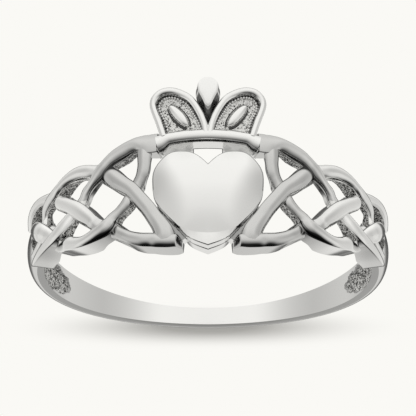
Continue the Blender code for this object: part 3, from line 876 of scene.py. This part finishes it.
def rim_section(half_width, crest, foot, slope):
    """The rim's rounded top on sides that lean out to its foot."""
    section = cap_section(half_width, crest, foot, slope, edge=0.02 * MM, segments=12)
    return [(section[0][0] - RIM_FLARE, foot)] + section[1:-1] + [(section[-1][0] + RIM_FLARE, foot)]


# painted shade on the rim's sides, near black on its upper edge
def rim_finish(i, k):
    if k == RIM_UPPER_EDGE:
        return PAINTED_DEEP_SHADE
    return SHADED if k in RIM_SIDES else POLISHED


def crown_lobe():
    """The right lobe: its rim, its rough floor, the beads along it, and the slanting seed."""
    outline = lobe_path()
    rim = [(x, y, RIM_WIDTH / 2, CROWN_CREST, 68, CROWN_FOOT) for x, y in outline]
    hoop = swept("lobe_rim", rim, rim_finish, section_of=rim_section)
    middle_x, middle_y = LOBE_WIDTH * 0.50, BAR_MIDDLE + LOBE_HEIGHT * 0.42
    floor_rings = [[(x, y, height) for x, y in outline]
                   for height in (CROWN_FOOT + 0.03 * MM, CROWN_FLOOR)]
    for size in LOBE_FLOOR_SIZES:
        row = []
        for x, y in outline:
            px, py = middle_x + (x - middle_x) * size, middle_y + (y - middle_y) * size
            grain = (noise.noise(Vector((px, py, 0.0)) * 9000) * 0.5
                     + noise.noise(Vector((px, py, 5.0)) * 21000) * 0.3)
            row.append((px, py, CROWN_FLOOR + 0.05 * MM * grain - 0.02 * MM))
        floor_rings.append(row)
    # the floor's cast skin is the lighter copy, with less painted shade
    floor = piece_from_rings("lobe_floor", floor_rings, BRIGHT_CAST)
    return [hoop, floor] + beading(outline, middle_x, middle_y) + seed()


def beading(path, middle_x, middle_y):
    """A row of tiny beads on the floor, just inside the rim."""
    beads = []
    length = 0.0
    previous = path[0]
    for x, y in path[1:]:
        length += math.hypot(x - previous[0], y - previous[1])
        previous = (x, y)
        if length < BEAD_SPACING:
            continue
        length = 0.0
        share = 1 - BEAD_INSET / math.hypot(x - middle_x, y - middle_y)
        px, py = middle_x + (x - middle_x) * share, middle_y + (y - middle_y) * share
        if py < bar_line(px) + BAR_WIDTH * 0.55:
            continue
        bpy.ops.mesh.primitive_ico_sphere_add(subdivisions=2, radius=BEAD_RADIUS,
                                              location=(px, py, CROWN_FLOOR + 0.035 * MM))
        bead = bpy.context.object
        bead.data.transform(bead.matrix_world)
        bead.matrix_world = Matrix.Identity(4)
        for material in FINISHES:
            bead.data.materials.append(material)
        beads.append(bead)
    return beads


def seed():
    """The slanting leaf-shaped bead inside a lobe, in a surround of painted shade."""
    lean = math.radians(51)
    middle_x, middle_y = LOBE_WIDTH * 0.507, BAR_MIDDLE + LOBE_HEIGHT * 0.455
    stations, steps = [], 36
    for i in range(steps + 1):
        along = -math.cos(math.pi * i / steps)
        swell = max((1 - along ** 2) ** 0.5, 0.08)
        stations.append((
            middle_x + math.cos(lean) * along * SEED_LENGTH / 2,
            middle_y + math.sin(lean) * along * SEED_LENGTH / 2,
            SEED_WIDTH / 2 * swell,
            between(CROWN_FLOOR + 0.05 * MM, CROWN_CREST - 0.02 * MM, swell ** 0.6),
            62,
            CROWN_FOOT + 0.15 * MM,
        ))
    shade_ring = [(x, y, half_width + 0.11 * MM, CROWN_FLOOR + 0.045 * MM, 10, CROWN_FLOOR - 0.3 * MM)
            for x, y, half_width, *_ in stations]
    return [swept("seed", stations, POLISHED), swept("seed_shade_ring", shade_ring, PAINTED_DEEP_SHADE)]


def finial():
    """The pear-shaped point between the lobes: a flat face between bevels that widen downwards."""
    outline = [(across * FINIAL_WIDTH / 2, FINIAL_TOP - down * FINIAL_HEIGHT)
               for across, down in whole_outline(FINIAL_OUTLINE, 8)]
    middle = FINIAL_TOP - FINIAL_HEIGHT * 0.38

    def face_point(x, y):
        down = (FINIAL_TOP - y) / FINIAL_HEIGHT
        share = between(0.90, 0.66, ease(down / 0.6))
        return x * share, middle + (y - middle) * (0.92 if y > middle else 0.47)

    sides = ((0.94, CROWN_FOOT), (1.0, CROWN_FOOT + 0.15 * MM), (1.0, CROWN_FLOOR - 0.27 * MM),
             (0.97, CROWN_FLOOR - 0.22 * MM))
    rings = [[(x * size, middle + (y - middle) * size, height) for x, y in outline]
             for size, height in sides]
    face = [face_point(x, y) for x, y in outline]
    rings.append([(between(x, fx, 0.93), between(y, fy, 0.93), CROWN_CREST - 0.07 * MM)
                  for (x, y), (fx, fy) in zip(outline, face)])
    crown_of_face = ((1.0, 0.03), (0.9, 0.0), (0.75, -0.025), (0.5, -0.05), (0.3, -0.06), (0.1, -0.065))
    for size, sink in crown_of_face:
        rings.append([(x * size, middle + (y - middle) * size, CROWN_CREST - sink * MM)
                      for x, y in face])

    # painted shade on the finial's walls and bevel, near black on its lower facets
    def finish(i, k):
        low = all(outline[j % len(outline)][1] < middle - 0.1 * MM for j in (k, k + 1))
        if i == 2 and low:
            return PAINTED_DEEP_SHADE
        return SHADED if i in (1, 2) or i == 3 and low else POLISHED

    return piece_from_rings("finial", rings, finish)


def crown():
    right = crown_lobe()
    left = [mirrored(piece) for piece in right]
    finished(joined("crown", crown_bar() + [finial()] + right + left))


# ---------------------------------------------------------------- webs

def web(name, start, end, half_widths, height, finish):
    """A low, slightly lumpy strip from start to end, down to the finger hole."""
    run, rise = end[0] - start[0], end[1] - start[1]
    steps, steps_across, bottom = 14, 10, 0.002 * MM
    rings = []
    for i in range(steps + 1):
        x, y = start[0] + run * i / steps, start[1] + rise * i / steps
        half_width = between(*half_widths, i / steps)
        ring = [(*beside(x, y, run, rise, -half_width), bottom)]
        for k in range(steps_across + 1):
            px, py = beside(x, y, run, rise, half_width * (2 * k / steps_across - 1))
            ring.append((px, py, height + 0.06 * MM * noise.noise(Vector((px, py, 2.0)) * 7000)))
        ring.append((*beside(x, y, run, rise, half_width), bottom))
        rings.append(ring)
    return piece_from_rings(name, rings, finish)


def webs():
    """The ties: the heart's lobes to the bar, its sides to the plaits, the bar to the shoulders."""
    heart_half = HEART_WIDTH / 2
    lobe_x = heart_half * 0.545
    shoulder_out, shoulder_up = STRANDS["shoulder_strand"][0][:2]
    bar_end = BAR_LENGTH * 0.43
    right = [
        web("bar_web",
            (lobe_x, HEART_TIP + HEART_HEIGHT - WEB_WIDTH),
            (lobe_x, BAR_MIDDLE - BAR_WIDTH * 0.2),
            (WEB_WIDTH * 1.25, WEB_WIDTH * 1.25), CROWN_FLOOR * 0.42, INNER_PAINTED_SHADE),
        # the ties by the heart carry painted shade
        web("heart_web",
            (heart_half * 0.91, HEART_TIP + HEART_HEIGHT * 0.50),
            (KNOT_REACH * 0.096, -KNOT_RISE * 0.85),
            (WEB_WIDTH * 0.4, WEB_WIDTH * 0.85), WEB_HEIGHT * 0.9, SHADED),
        web("shoulder_web",
            (KNOT_REACH * (shoulder_out + 0.02), KNOT_RISE * shoulder_up),
            (bar_end, bar_line(bar_end)),
            (STRAND_WIDTH * 0.50, BAR_WIDTH * 0.46), CROWN_FLOOR * 1.10, INNER_PAINTED_SHADE),
    ]
    left = [mirrored(piece) for piece in right]
    finished(joined("webs", right + left))


# ---------------------------------------------------------------- shank

def shank():
    """A D-section band round the back, with a rough spoon-shaped hollow inside each end."""
    start, turn = KNOT_ANGLE - SHANK_SIDE_ROOT / LAYOUT_RADIUS, 2 * math.pi
    count, inside, outside = 420, 26, 22    # stations round it, stretches inside and outside
    hollow_at = KNOT_ANGLE + HOLLOW_FROM_KNOT / LAYOUT_RADIUS
    edge = 0.05 * MM
    rings, rough = [], []
    for i in range(count + 1):
        around = between(start, turn - start, i / count)
        from_back = abs(around - math.pi) / (math.pi - start)
        share = ease((from_back - 0.03) / 0.8)
        half_width = between(SHANK_BACK_WIDTH, SHANK_SIDE_WIDTH, share) / 2
        thickness = between(SHANK_BACK_THICKNESS, SHANK_SIDE_THICKNESS, share)
        from_hollow = (min(around, turn - around) - hollow_at) * BORE_RADIUS / (HOLLOW_LENGTH / 2)
        places, marks = [], []
        for k in range(inside + 1):
            across = (half_width - edge) * (1 - 2 * k / inside)
            spot = Vector((around * BORE_RADIUS, across, 0.0))
            reach = from_hollow ** 2 + (across / (HOLLOW_WIDTH / 2)) ** 2
            reach += 0.22 * noise.noise(spot * 2600)
            depth = 0.0
            if reach < 1:
                depth = HOLLOW_DEPTH * (1 - reach) ** 0.35
                depth += 0.05 * MM * noise.noise(spot * 8000) + 0.03 * MM * noise.noise(spot * 19000)
            marks.append(reach < 1)
            places.append((BORE_RADIUS + max(depth, 0.0), across))
        for k in range(outside + 1):
            angle = math.pi * k / outside
            swell = between(thickness * 0.42, thickness, math.sin(angle) ** 0.9)
            places.append((BORE_RADIUS + swell, -half_width * math.cos(angle)))
        rings.append([Vector((radius * math.cos(around), radius * math.sin(around), across))
                      for radius, across in places])
        rough.append(marks)

    # painted shade: the hollow's border and both inner edges are dark lines, the lower side is darker,
    # and the rest darkens towards the band's ends
    def finish(i, k):
        if k < inside:
            corners = rough[i][k:k + 2] + rough[i + 1][k:k + 2]
            return CAST_PAINTED_SHADE if all(corners) else SHADED if any(corners) else OUTER_PAINTED_SHADE
        if k in (inside, inside + outside + 1):
            return SHADED
        return SIDE if k < inside + 14 else OUTER_PAINTED_SHADE

    piece = piece_from_rings("shank", rings, finish)
    for vert in piece.data.vertices:
        vert.co = REST @ vert.co
    finished(piece, already_round=True, angle=40)


# ---------------------------------------------------------------- the whole ring

set_camera()
studio()
pale_floor()
FINISHES = [
    polished_white_metal("polished_white_metal", 0.90),
    # cast grain, darkened with painted shade in the recesses
    cast_skin_painted_shade("cast_skin_painted_shade", 0.46, 0.61, 0.74),
    # darker near the heart and brighter to the sides: painted shade and light in place of reflections
    polished_white_metal("plait_metal_painted_shade", 0.65, 0.95),
    # near black: painted deep shade and painted dark reflections on flanks, edges, the bar's foot and
    # the seed's surround
    polished_white_metal("painted_deep_shade_metal", 0.07),
    # painted shade: thin dark outlines along edges and darker strips
    polished_white_metal("flank_shaded_metal", 0.36),
    # darker towards the shank's ends: painted shade
    polished_white_metal("shank_metal_painted_shade", 0.90, 0.67, (7.3 * MM, 8.5 * MM)),
    # a lighter, lit copy of the cast skin, with less painted shade, for the lobe floors
    cast_skin_painted_shade("bright_cast_skin", 0.42, 0.54, 0.64),
    # the shank's lower side, darker by painted shade
    polished_white_metal("side_metal_painted_shade", 0.72),
]
plaits()
heart()
crown()
webs()
shank()

bpy.context.scene.view_settings.view_transform = "Standard"
